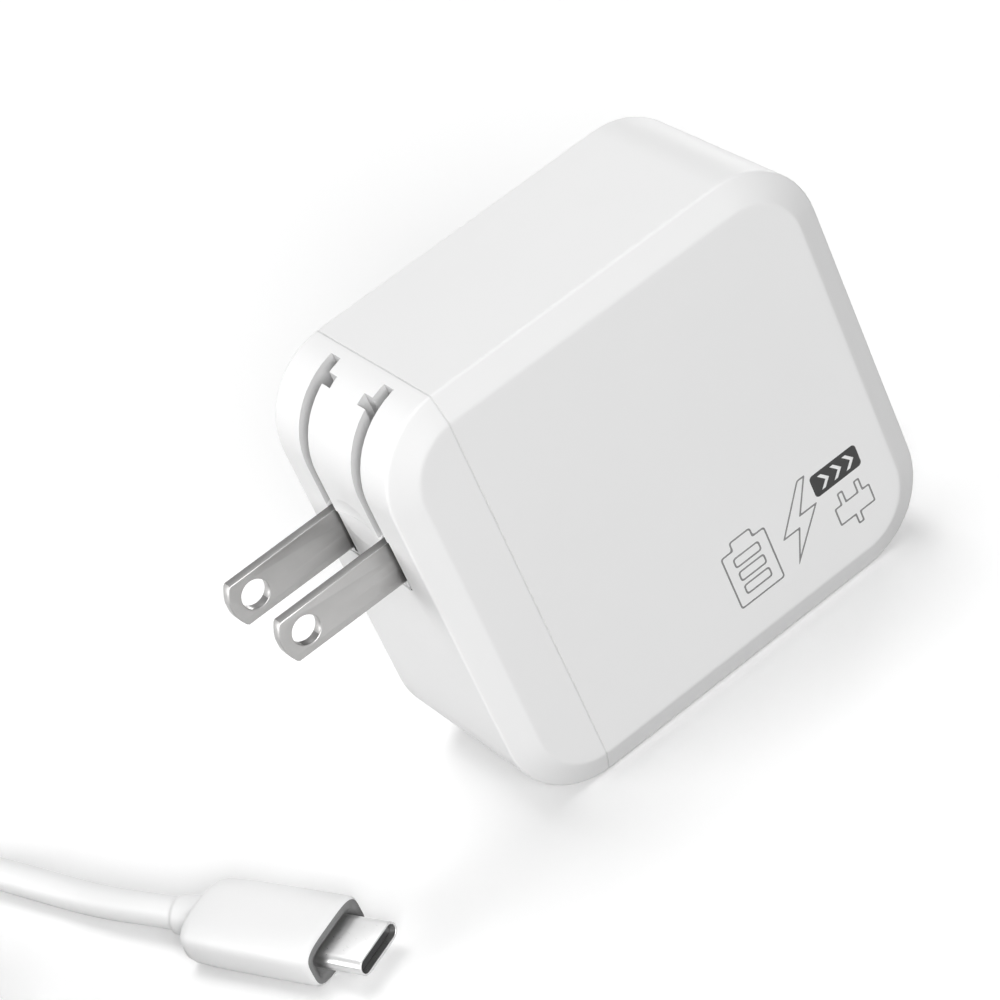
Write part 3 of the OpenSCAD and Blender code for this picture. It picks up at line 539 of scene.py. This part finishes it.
# the moulded white plastics reflect less than a polished one
MATT = {"Specular IOR Level": 0.25}
FINISHES = {
    "housing": finish("housing_plastic", grey(0.83), grey(0.86), (0.42, 0.58), 5000, 40, 0.12,
                      **MATT),
    "carrier": finish("carrier_plastic", grey(0.81), grey(0.85), (0.4, 0.55), 5000, 60, 0.1,
                      **MATT),
    # painted shade: the slots' walls are the housing's white plastic, greyed for the shade inside
    # them
    "shaded_slot_walls": finish("shaded_slot_walls", grey(0.56), grey(0.62), (0.55, 0.7), 5000, 60, 0.2),
    # painted shade: the walls of the recess and gap beside the blades are white plastic, made near
    # black for the shade in them
    "shaded_gap_walls": finish("shaded_gap_walls", grey(0.1), grey(0.14), (0.6, 0.8), 5000, 60, 0.2),
    # the blades' narrow edges: a rougher sheared grain, and a darker colour that is painted shade
    "shaded_sheared_edge": finish("shaded_sheared_edge", grey(0.16, 0.01), grey(0.22, 0.01), (0.35, 0.5),
                           9000, 300, 0.3, (0.08, 1, 1), 1),
    # painted shade: the seam groove's walls are the housing's plastic, greyed for the shade in the
    # groove
    "shaded_seam_walls": finish("shaded_seam_walls", grey(0.68), grey(0.72), (0.55, 0.7), 5000, 60, 0.2),
    # painted shade: the white grips' end faces, darkened for the shade they stand in
    "shaded_grip_end": finish("grip_end_shaded_plastic", grey(0.17), grey(0.21), (0.45, 0.6)),
    "grey_ink": finish("grey_ink", grey(0.2), grey(0.26), (0.45, 0.6), 6000, 300, 0.1),
    "dark_ink": finish("dark_ink", grey(0.015), grey(0.03), (0.45, 0.6), 6000, 300, 0.1),
    "blade_metal": finish("blade_nickel", grey(0.36, 0.01), grey(0.43, 0.01), (0.28, 0.45),
                          9000, 200, 0.15, (0.08, 1, 1), 1),
    "spring_brass": finish("contact_gold", (0.72, 0.5, 0.2), (0.82, 0.6, 0.28), (0.2, 0.35),
                           6000, 300, 0.1, metal=1),
    "spring_steel": finish("spring_steel", grey(0.42), grey(0.52), (0.3, 0.45), 6000, 200,
                           0.12, (0.1, 1, 1), 1),
    "inner_plastic": finish("inner_nylon", (0.76, 0.73, 0.64), (0.82, 0.79, 0.7), (0.45, 0.6)),
    "board": finish("solder_mask", (0.02, 0.13, 0.06), (0.03, 0.19, 0.09), (0.3, 0.45), 900,
                    400, 0.3),
    "dark_plastic": finish("dark_plastic", grey(0.012), grey(0.03), (0.4, 0.6)),
    "ferrite": finish("ferrite", grey(0.03, 0.03), grey(0.06, 0.03), (0.5, 0.75), 2500, 300, 0.5),
    "copper_wire": finish("enamelled_copper", (0.45, 0.15, 0.05), (0.6, 0.24, 0.08),
                          (0.18, 0.3), metal=1),
    "yellow_plastic": finish("yellow_box", (0.72, 0.5, 0.06), (0.8, 0.58, 0.1), (0.35, 0.5)),
    "can_sleeve": finish("can_sleeve", (0.01, 0.012, 0.03), (0.02, 0.025, 0.055), (0.25, 0.4),
                         2000, 200, 0.1),
    "blue_resin": finish("blue_resin", (0.03, 0.11, 0.3), (0.05, 0.16, 0.4), (0.3, 0.5), 700,
                         300, 0.4),
    "can_metal": finish("can_aluminium", grey(0.72), grey(0.8), (0.25, 0.4), 6000, 200, 0.15,
                        (1, 1, 0.1), 1),
    "port_metal": finish("port_steel", grey(0.6), grey(0.7), (0.24, 0.36), 9000, 300, 0.1,
                         (1, 0.1, 1), 1),
    "spreader_metal": finish("spreader_aluminium", grey(0.7), grey(0.78), (0.35, 0.5), 7000,
                             100, 0.2, (0.05, 1, 1), 1),
    "pad": finish("thermal_pad", (0.3, 0.36, 0.42), (0.36, 0.42, 0.5), (0.7, 0.85), 1500, 200,
                  0.4),
    "sheet_film": finish("insulating_film", (0.62, 0.52, 0.3), (0.68, 0.58, 0.36), (0.3, 0.4)),
    "lead_white": finish("lead_jacket", grey(0.84), grey(0.87), (0.38, 0.5), 3500, 60, 0.1),
    "tie_strap": finish("strap_weave", grey(0.66), grey(0.8), (0.7, 0.9), 2200, 300, 0.9),
}


# ---------- housing: the main shell and the end cap ----------
# White polycarbonate, moulded in two halves that are welded at a fine seam. The cap has
# the two slots that take the folded blades, and the window of their carrier.

BODY_T, CORNER_R, BEVEL_IN, BEVEL_DEEP, WALL = 30.8, 11.5, 3.7, 1.8, 1.8
FACE_X, BODY_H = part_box("end_cap")[0][0] / MM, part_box("main_shell")[1][2] / MM
PORT_X, PORT_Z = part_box("main_shell")[1][0] / MM, 46
SEAM_X, SEAM_GAP, GROOVE_W, GROOVE_DEEP = FACE_X + 11, 0.01, 0.22, 0.07
PIVOT_X, PIVOT_Z, BLADE_PITCH, SLOT_W = FACE_X + 3.5, 38.6, 12.7, 2.3
SLOT_BACK_X, SLOT_OUT = PIVOT_X + 5.895, (BLADE_PITCH + SLOT_W) / 2
NOTCH_X, NOTCH_L, NOTCH_W, NOTCH_Z = SEAM_X - 5.2, 1.5, 1.9, BODY_H - 7.5
SLOT_LOW, CHANNEL_WALL, BEARING = PIVOT_Z + 2, 1.2, 3.4
BORE_R, BORE_REACH = 1.55, 9.75
WINDOW_LOW, WINDOW_BACK, WINDOW_TOP_R = PIVOT_Z - 1.975, PIVOT_X + 7.2, 6.6
PANEL_ROUND, SIDE_ROUND, EDGE_ROUND = 1, 0.6, 0.22
# the recess beside the front blade, and the dimple between the blades as middle and reach
GAP_OUT, GAP_DEEP, GAP_LOW, GAP_HIGH = SLOT_OUT + 0.45, 2.5, PIVOT_Z - 1.8, PIVOT_Z + 6
DIMPLE = ((FACE_X - 1.5, 0, 44.2), (2, 7.4, 5.4))


def bend_points(a, corner, b, n):
    """Points of a round bend from a to b, whose tangents meet at the corner."""
    points = []
    for i in range(n + 1):
        u = i / n
        points.append(tuple((1 - u) ** 2 * p + 2 * u * (1 - u) * c + u * u * q
                            for p, c, q in zip(a, corner, b)))
    return points


def edge_profile():
    """Inset and depth, from a big face round its bevel to the narrow sides."""
    tilt = math.atan2(BEVEL_DEEP, BEVEL_IN)
    t1 = PANEL_ROUND * math.tan(tilt / 2) + 0.1
    t2 = SIDE_ROUND * math.tan((math.pi / 2 - tilt) / 2)
    run, drop = math.cos(tilt), math.sin(tilt)
    points = [(BEVEL_IN + t1 + 0.4, 0)]
    points += bend_points((BEVEL_IN + t1, 0), (BEVEL_IN, 0),
                          (BEVEL_IN - t1 * run, t1 * drop), 4)
    points += [(BEVEL_IN - (t1 + 0.3) * run, (t1 + 0.3) * drop),
               ((t2 + 0.3) * run, BEVEL_DEEP - (t2 + 0.3) * drop)]
    points += bend_points((t2 * run, BEVEL_DEEP - t2 * drop), (0, BEVEL_DEEP),
                          (0, BEVEL_DEEP + t2), 7)
    return points + [(0, BEVEL_DEEP + t2 + 0.3)]


def body_ring(shrink, inset, y, n=14):
    """The body's outline at one depth, as a ring across Y."""
    s = shrink + inset
    outline = round_box(FACE_X + s, PORT_X - s, s, BODY_H - s, CORNER_R - s, n)
    return [Vector((x, y, z)) for x, z in outline]


def body_block(name, shrink):
    """The whole body with its bevels, smaller by shrink on every side."""
    half = [(i, shrink + d - BODY_T / 2) for i, d in edge_profile()]
    rings = [body_ring(shrink, i, y) for i, y in half]
    rings += [body_ring(shrink, i, -y) for i, y in reversed(half)]
    return loft(name, rings)


def block(lo, hi):
    """A box, used as a cutting tool."""
    bm = bmesh.new()
    bmesh.ops.create_cube(bm, size=1)
    size = Vector(hi) - Vector(lo)
    bmesh.ops.scale(bm, vec=size, verts=bm.verts)
    bmesh.ops.translate(bm, vec=Vector(lo) + size / 2, verts=bm.verts)
    return mesh_piece("tool", bm, smooth=False)


def round_bar(at, r, y0, y1, n=64):
    """A cylinder along Y about a point of the XZ plane, used as a tool."""
    ring = [(at[0] + r * math.cos(2 * math.pi * i / n), at[1] + r * math.sin(2 * math.pi * i / n))
            for i in range(n)]
    return loft("tool", [[Vector((x, y, z)) for x, z in ring] for y in (y0, y1)])


def carve(piece, tool, operation="DIFFERENCE"):
    """Cuts a tool out of a piece, or joins it on, and removes the tool."""
    change = piece.modifiers.new("carve", "BOOLEAN")
    change.object = tool
    change.operation = operation
    change.solver = "EXACT"
    mesh = bpy.data.meshes.new_from_object(
        piece.evaluated_get(bpy.context.evaluated_depsgraph_get()))
    piece.modifiers.clear()
    old, piece.data = piece.data, mesh
    bpy.data.meshes.remove(old)
    bpy.data.objects.remove(tool)


SHARP_FROM = 50


def ease(piece, width, where):
    """Rounds the sharp edges whose ends both satisfy where, given in millimetres."""
    bm = bmesh.new()
    bm.from_mesh(piece.data)
    bmesh.ops.remove_doubles(bm, verts=bm.verts, dist=2e-6)
    bmesh.ops.dissolve_degenerate(bm, dist=2e-6, edges=bm.edges)
    chosen = []
    for edge in bm.edges:
        if len(edge.link_faces) != 2 or edge.calc_face_angle(0) < math.radians(SHARP_FROM):
            continue
        if all(where(v.co / MM) for v in edge.verts):
            chosen.append(edge)
    bmesh.ops.bevel(bm, geom=chosen, offset=width * MM, segments=2, profile=0.5,
                    affect="EDGES", clamp_overlap=True)
    bm.to_mesh(piece.data)
    bm.free()


def soft_shading(piece):
    """Smooth shading that keeps the flat faces flat."""
    piece.data.shade_smooth()
    piece.data.set_sharp_from_angle(angle=math.radians(SHADED_SHARP))
    even = piece.modifiers.new("even_normals", "WEIGHTED_NORMAL")
    even.keep_sharp = True


def second_finish(piece, name, first, where):
    """Gives the faces that satisfy where, from their middle and normal, another finish."""
    if not piece.data.materials:
        piece.data.materials.append(FINISHES[first])
    piece.data.materials.append(FINISHES[name])
    for face in piece.data.polygons:
        if where(face.center / MM, face.normal):
            face.material_index = len(piece.data.materials) - 1


def ball(at, reach):
    """A ball stretched to its reach along each axis, used as a tool."""
    bm = bmesh.new()
    bmesh.ops.create_uvsphere(bm, u_segments=64, v_segments=40, radius=1)
    bmesh.ops.scale(bm, vec=reach, verts=bm.verts)
    bmesh.ops.translate(bm, vec=at, verts=bm.verts)
    return mesh_piece("tool", bm)


def on_skin(p, within=0.06):
    """Whether a point lies on the body's narrow sides, rounded corners included."""
    x = min(p.x - FACE_X, PORT_X - p.x)
    z = min(p.z, BODY_H - p.z)
    if x < CORNER_R and z < CORNER_R:
        depth = CORNER_R - math.hypot(CORNER_R - x, CORNER_R - z)
    else:
        depth = min(x, z)
    return depth < within


FAR = 100
hollow = body_block("main_shell_piece", 0)
groove = block((SEAM_X - GROOVE_W / 2, -FAR, -FAR), (SEAM_X + GROOVE_W / 2, FAR, FAR))
carve(groove, body_block("tool", GROOVE_DEEP))
carve(hollow, groove)
carve(hollow, body_block("tool", WALL))
cap = link("end_cap_piece", hollow.data.copy())
carve(hollow, block((SEAM_X + SEAM_GAP / 2, -FAR, -FAR), (FAR, FAR, FAR)), "INTERSECT")
carve(cap, block((-FAR, -FAR, -FAR), (SEAM_X - SEAM_GAP / 2, FAR, FAR)), "INTERSECT")

# the channels' walls inside the cap, and its bearing blocks
inside = body_block("tool", WALL / 2)
for s in (-1, 1):
    y = s * BLADE_PITCH / 2
    channel = block((FACE_X, y - SLOT_W / 2 - CHANNEL_WALL, SLOT_LOW),
                    (SLOT_BACK_X + CHANNEL_WALL, y + SLOT_W / 2 + CHANNEL_WALL, BODY_H))
    carve(channel, link("tool", inside.data.copy()), "INTERSECT")
    carve(cap, channel, "UNION")
    inner = y - s * SLOT_W / 2
    n0, n1 = sorted((inner - s * (NOTCH_W + CHANNEL_WALL), inner))
    pocket = block((NOTCH_X - CHANNEL_WALL, n0, NOTCH_Z - CHANNEL_WALL),
                   (NOTCH_X + NOTCH_L + CHANNEL_WALL, n1, BODY_H))
    carve(pocket, link("tool", inside.data.copy()), "INTERSECT")
    carve(cap, pocket, "UNION")
    y0, y1 = (SLOT_OUT, 14) if s > 0 else (-14, -SLOT_OUT)
    carve(cap, block((FACE_X + WALL / 2, y0, PIVOT_Z - BEARING),
                     (PIVOT_X + BEARING, y1, PIVOT_Z + BEARING)), "UNION")
bpy.data.objects.remove(inside)

# the slots with their finger notches, the window and the dimple
for s in (-1, 1):
    y = s * BLADE_PITCH / 2
    carve(cap, block((FACE_X - 1, y - SLOT_W / 2, SLOT_LOW),
                     (SLOT_BACK_X, y + SLOT_W / 2, BODY_H + 1)))
    inner = y - s * SLOT_W / 2
    n0, n1 = sorted((inner - s * NOTCH_W, inner + s * 0.1))
    carve(cap, block((NOTCH_X, n0, NOTCH_Z), (NOTCH_X + NOTCH_L, n1, BODY_H + 1)))
carve(cap, block((FACE_X - 1, -SLOT_OUT, WINDOW_LOW), (WINDOW_BACK, SLOT_OUT, SLOT_LOW)))
carve(cap, round_bar((PIVOT_X, PIVOT_Z), BEARING + 0.1, -SLOT_OUT, SLOT_OUT))
window_top = round_bar((PIVOT_X, PIVOT_Z), WINDOW_TOP_R, -SLOT_OUT, SLOT_OUT)
carve(window_top, block((-FAR, -FAR, PIVOT_Z), (FAR, FAR, FAR)), "INTERSECT")
carve(cap, window_top)
carve(cap, block((FACE_X - 1, -GAP_OUT, GAP_LOW), (FACE_X + GAP_DEEP, 0.1 - SLOT_OUT, GAP_HIGH)))
carve(cap, ball(*DIMPLE))
carve(cap, round_bar((PIVOT_X, PIVOT_Z), BORE_R, -BORE_REACH, BORE_REACH))
ease(cap, EDGE_ROUND, lambda p: on_skin(p) and abs(p.y) < 9 and p.x < SEAM_X - 0.5)
# painted shade: the walls of the slots and finger notches get a darker grey for the shade inside
# them
second_finish(cap, "shaded_slot_walls", "housing",
              lambda c, n: 3.2 < abs(c.y) < 7.55 and PIVOT_Z + 6 < c.z and c.x < SLOT_BACK_X + 0.1
              and not on_skin(c, 0.25) and (abs(c.y) > 5.15 or abs(c.x - SEAM_X + 4.45) < 0.8))
# painted shade: the recess beside the front blade gets near-black walls for the shade in it
second_finish(cap, "shaded_gap_walls", "housing",
              lambda c, n: SLOT_OUT - 0.2 < -c.y < GAP_OUT + 0.1
              and FACE_X + 0.1 < c.x < FACE_X + GAP_DEEP + 0.1
              and GAP_LOW - 0.3 < c.z < GAP_HIGH + 0.1)

# the port's mouth
mouth = plate("tool", [stadium(9.24, 3.5)], 4, 0.01, 1)
place(mouth, Matrix.Translation((PORT_X, 0, PORT_Z)) @ ACROSS_X)
carve(hollow, mouth)
ease(hollow, EDGE_ROUND, lambda p: on_skin(p) and p.x > PORT_X - 1)
for piece, node in ((hollow, "main_shell"), (cap, "end_cap")):
    # painted shade: the seam groove's walls get a grey for the shade in the groove
    second_finish(piece, "shaded_seam_walls", "housing",
                  lambda c, n: abs(c.x - SEAM_X) < GROOVE_W / 2 + 0.01)
    soft_shading(piece)
    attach(piece, "adapter")
    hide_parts(node)
    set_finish(piece, "housing")


# ---------- printed marks ----------
# Plain signs in thin ink lines near the lower right corner of the big face: a battery, a
# bolt and a plug, under a dark label with three arrowheads. The ink is a few hundredths
# of a millimetre thick.

LINE, INK_T = 0.24, 0.03


def inset(points, d):
    """A closed outline moved inward by d, with its corners kept sharp."""
    turn = sum(a[0] * b[1] - b[0] * a[1] for a, b in zip(points, points[1:] + points[:1]))
    moved = []
    for i, here in enumerate(points):
        before = Vector(here) - Vector(points[i - 1])
        after = Vector(points[(i + 1) % len(points)]) - Vector(here)
        sides = [Vector((-v.y, v.x)).normalized() * math.copysign(1, turn)
                 for v in (before, after)]
        middle = (sides[0] + sides[1]).normalized()
        moved.append(tuple(Vector(here) + middle * d / middle.dot(sides[0])))
    return moved


def soften(points, r):
    """A closed outline with its corners rounded."""
    soft = []
    for i, here in enumerate(points):
        here = Vector(here)
        a, b = Vector(points[i - 1]) - here, Vector(points[(i + 1) % len(points)]) - here
        soft += bend_points(here + a.normalized() * r, here, here + b.normalized() * r, 4)
    return soft


def lines(*outlines, r=0.3):
    """Each outline as a thin closed line with its corners rounded."""
    parts = []
    for outline in outlines:
        parts += [soften(outline, r), soften(inset(outline, LINE), 0.7 * r)]
    return parts


def mark(name, outlines, ink, lift=0.0):
    """Ink on the big face, from outlines in X and Z."""
    piece = plate(name, outlines, INK_T, 0.006, 1)
    place(piece, Matrix.Translation((0, -BODY_T / 2 - 0.008 - lift, 0)) @ ACROSS_Y)
    piece.data.materials.append(FINISHES[ink])
    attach(piece, "adapter")
    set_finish(piece, "dark_plastic")


battery = [(11.2, 8.6), (18.6, 8.6), (18.6, 17.2), (16.7, 17.2), (16.7, 18.5), (13.1, 18.5),
           (13.1, 17.2), (11.2, 17.2)]
bars = [[(12.7, z), (17.1, z), (17.1, z + 1.6), (12.7, z + 1.6)] for z in (10, 12.2, 14.4)]
bolt = [(25.2, 19.8), (20.2, 13.3), (22.9, 13.3), (21, 8.6), (26.8, 15.1), (24, 15.1),
        (26.6, 19.8)]
plug_sign = [(31.1, 7.9), (32.1, 7.9), (32.1, 9.4), (34.6, 9.4), (34.6, 12.3), (33.5, 12.3),
             (33.5, 14.1), (32.5, 14.1), (32.5, 12.3), (30.7, 12.3), (30.7, 14.1), (29.7, 14.1),
             (29.7, 12.3), (28.6, 12.3), (28.6, 9.4), (31.1, 9.4)]
mark("mark_battery", lines(battery, *bars, r=0.5), "grey_ink")
mark("mark_bolt", lines(bolt), "grey_ink")
mark("mark_plug", lines(plug_sign), "grey_ink")
mark("mark_label", [round_box(26.9, 34.7, 15.5, 18.9, 0.6)], "dark_ink")
for i in range(3):
    x = 28.1 + 2.1 * i
    arrow = [(x, 16.1), (x + 0.6, 16.1), (x + 1.6, 17.2), (x + 0.6, 18.3), (x, 18.3),
             (x + 1, 17.2)]
    mark("mark_arrow_%d" % (i + 1), [arrow], "housing", 0.012)


# ---------- blades ----------
# Two flat contact blades of nickel-plated brass, blanked from strip and deburred, each
# with a hole near its tip and a round lobe that turns on the carrier's journal.

TIP_X, BLADE_Z, BLADE_HALF, BLADE_T = FACE_X - 18, 41, 3.175, 1.52
HOLE_IN, HOLE_R, LOBE_R, JOURNAL_R = 4, 2, 3.2, 1.5


def circle(at, r, n=40):
    return [(at[0] + r * math.cos(2 * math.pi * i / n), at[1] + r * math.sin(2 * math.pi * i / n))
            for i in range(n)]


def blade_outline():
    lo, hi = BLADE_Z - BLADE_HALF, BLADE_Z + BLADE_HALF
    points = [(TIP_X + 1.5, lo)] + bend_points((TIP_X + 1.2, lo + 0.25), (TIP_X + 0.4, lo + 1.7),
                                               (TIP_X + 0.35, lo + 2.6), 4)
    points += [(x, 2 * BLADE_Z - z) for x, z in reversed(points)]
    # along the top edge to the lobe, round it and back along the lower edge
    turn = 270 - math.degrees(math.asin((PIVOT_Z - lo) / LOBE_R))
    points += [(PIVOT_X, hi)]
    for i in range(17):
        angle = math.radians(90 - turn * i / 16)
        points.append((PIVOT_X + LOBE_R * math.cos(angle), PIVOT_Z + LOBE_R * math.sin(angle)))
    return points


for label, y in (("blade_front", -BLADE_PITCH / 2), ("blade_rear", BLADE_PITCH / 2)):
    blade = plate(label + "_piece", [blade_outline(), circle((TIP_X + HOLE_IN, BLADE_Z), HOLE_R),
                                     circle((PIVOT_X, PIVOT_Z), JOURNAL_R)], BLADE_T, 0.16)
    place(blade, Matrix.Translation((0, y, 0)) @ ACROSS_Y)
    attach(blade, "blades")
    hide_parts(label)
    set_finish(blade, "blade_metal")
    # painted shade: the up- and down-facing edges get a much darker metal; their stretched,
    # rougher grain is the sheared surface
    second_finish(blade, "shaded_sheared_edge", "blade_metal", lambda c, n: abs(n.z) > 0.8)


# ---------- blade carrier ----------
# White acetal, moulded round both blades. It turns on two journals in the cap, and stands
# clear of the rear blade's inner side near the face.

BLOCK_LOW, CARRIER_R, CARRIER_BACK, CLEAR = BLADE_Z - BLADE_HALF - 0.9, 6.52, 0.06, 0.6
HUB_R, JOURNAL_L, BLADE_SEAT = 3, 2.4, 2.6
half = (BLADE_PITCH + BLADE_T) / 2
carrier = round_bar((PIVOT_X, PIVOT_Z), CARRIER_R, -half, half, 96)
carve(carrier, block((FACE_X + CARRIER_BACK, -FAR, BLOCK_LOW), (PIVOT_X, FAR, FAR)), "INTERSECT")
carve(carrier, round_bar((PIVOT_X, PIVOT_Z), HUB_R, -half, half), "UNION")
carve(carrier, round_bar((PIVOT_X, PIVOT_Z), JOURNAL_R, -half - JOURNAL_L, half + JOURNAL_L),
      "UNION")
for s in (-1, 1):
    y0, y1 = sorted((s * (half + 0.01), s * (half - BLADE_T)))
    carve(carrier, block((-FAR, y0, BLADE_Z - BLADE_HALF), (FACE_X + BLADE_SEAT, y1, FAR)))
y1 = half - BLADE_T
carve(carrier, block((-FAR, y1 - CLEAR, BLADE_Z - BLADE_HALF - 0.5),
                     (FACE_X + BLADE_SEAT, y1 + 0.2, BLADE_Z + BLADE_HALF + 0.4)))
carve(carrier, ball(*DIMPLE))
ease(carrier, 0.1, lambda p: p.x < FACE_X + 0.1)
carrier.name = "blade_carrier_piece"
# painted shade: the carrier's clearance beside the rear blade gets near-black walls for the shade
# in it
second_finish(carrier, "shaded_gap_walls", "carrier",
              lambda c, n: FACE_X + 0.1 < c.x < FACE_X + BLADE_SEAT + 0.1 and 4.7 < c.y < 5.8)
soft_shading(carrier)
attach(carrier, "blades")
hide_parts("blade_carrier")
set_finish(carrier, "carrier")


# ---------- port ----------
# A USB-C receptacle: a drawn steel shell, and a black plastic tongue with gold contacts
# on both sides.

MOUTH_X, PORT_L, TONGUE_L, TONGUE_T = PORT_X - 0.5, 8.4, 4.45, 0.7
PORT_W, PORT_H, PAD_PITCH = 8.34, 2.6, 0.5
port_shell = plate("port_shell", [stadium(PORT_W + 0.6, PORT_H + 0.6), stadium(PORT_W, PORT_H)],
                   PORT_L, 0.08)
place(port_shell, Matrix.Translation((MOUTH_X - PORT_L / 2, 0, PORT_Z)) @ ACROSS_X)
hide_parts("receptacle_shell")
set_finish(port_shell, "port_metal")
base_x = MOUTH_X - 0.6 - TONGUE_L
port_core = plate("port_core", [stadium(PORT_W, PORT_H)], PORT_L - 0.6 - TONGUE_L, 0.05)
place(port_core, Matrix.Translation(((MOUTH_X - PORT_L + base_x) / 2, 0, PORT_Z)) @ ACROSS_X)
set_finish(port_core, "dark_plastic")
tongue = plate("port_tongue", [round_box(0, TONGUE_L + 0.2, -3.345, 3.345, 0.4)], TONGUE_T,
               0.08)
place(tongue, Matrix.Translation((base_x - 0.2, 0, PORT_Z)))
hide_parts("receptacle_tongue")
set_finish(tongue, "dark_plastic")
pads = []
for i in range(12):
    for side in (-1, 1):
        pad = plate("port_pad_%d_%s" % (i + 1, "upper" if side > 0 else "lower"),
                    [round_box(0.9, 4.1, -0.15, 0.15, 0.06, 2)], 0.04, 0.008, 1)
        place(pad, Matrix.Translation((base_x, PAD_PITCH * (i - 5.5),
                                       PORT_Z + side * (TONGUE_T / 2 + 0.01))))
        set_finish(pad, "spring_brass")
        pads.append(pad)
for piece in [port_shell, port_core, tongue] + pads:
    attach(piece, "adapter")


# ---------- windings ----------
# Enamelled copper wire: one unbroken length round the choke's ring core, and one round
# the transformer's bobbin.

core = [Vector(c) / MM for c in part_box("choke_core")]
ring_at = (core[0] + core[1]) / 2
# the middle radius of the ring, how far the wire goes from it across and along Y, its turns
choke_mid, choke_a, choke_b, choke_loops = 4.9, 2.424, 3.257, 10
choke_sweep = 320


def rounded(c):
    """A sine or cosine drawn out toward 1, which squares a loop off."""
    return math.copysign(math.sqrt(abs(c)), c)


def choke_point(t):
    turn, loop = math.radians(choke_sweep * t / choke_loops), 2 * math.pi * t
    r = choke_mid + choke_a * rounded(math.cos(loop))
    return ring_at + Vector((r * math.cos(turn), choke_b * rounded(math.sin(loop)),
                             r * math.sin(turn)))


core = [Vector(c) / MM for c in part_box("transformer_core")]
leg_at = (core[0] + core[1]) / 2
winding_r, winding_loops, flange, margin = 5.15, 5, 2.9, 1.4
winding_z0 = core[0].z + flange + margin
winding_step = (core[1].z - core[0].z - 2 * flange - 2 * margin) / winding_loops
winding_points = [on_circle(leg_at, winding_r, 18 * i, winding_z0 + winding_step * i / 20)
                  for i in range(20 * winding_loops + 1)]
choke_wire = wire("choke_wire", [choke_point(i / 14) for i in range(14 * choke_loops + 1)], 0.8)
transformer_wire = wire("transformer_wire", winding_points, 1)
for piece, node in ((choke_wire, "choke_winding"), (transformer_wire, "transformer_winding")):
    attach(piece, "adapter")
    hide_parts(node)
    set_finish(piece, "copper_wire")


# ---------- dressing ----------
# Each piece gets the finish of its material slot, and so does each CAD node that shows. The
# grips' end faces, round the plugs' shells, get a dark grey that is painted shade.

slots = {part["node"]: part["material_slot"] for part in frame["record"]["subparts"]}
for name, node in frame["nodes"].items():
    if node.hide_render:
        continue
    node.data.materials.clear()
    node.data.materials.append(FINISHES[slots[name]])
for plug, tip, heading in ((near_plug, PLUG_TIP, PLUG_DIR), (far_plug, far_tip, far_heading)):
    # painted shade: each grip's end face, round its shell, gets the dark grey
    second_finish(plug[2], "shaded_grip_end", "lead_white",
                  lambda c, n: (c - tip).dot(heading) > -PLUG_L - 0.2
                  or ((c - tip).dot(heading) > -PLUG_L - 1
                      and (c - tip).cross(heading).length < 4.8 and abs(c.z - tip.z) < 1.8))
for piece in scene.objects:
    if "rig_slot" in piece and not piece.data.materials:
        piece.data.materials.append(FINISHES[piece["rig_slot"]])
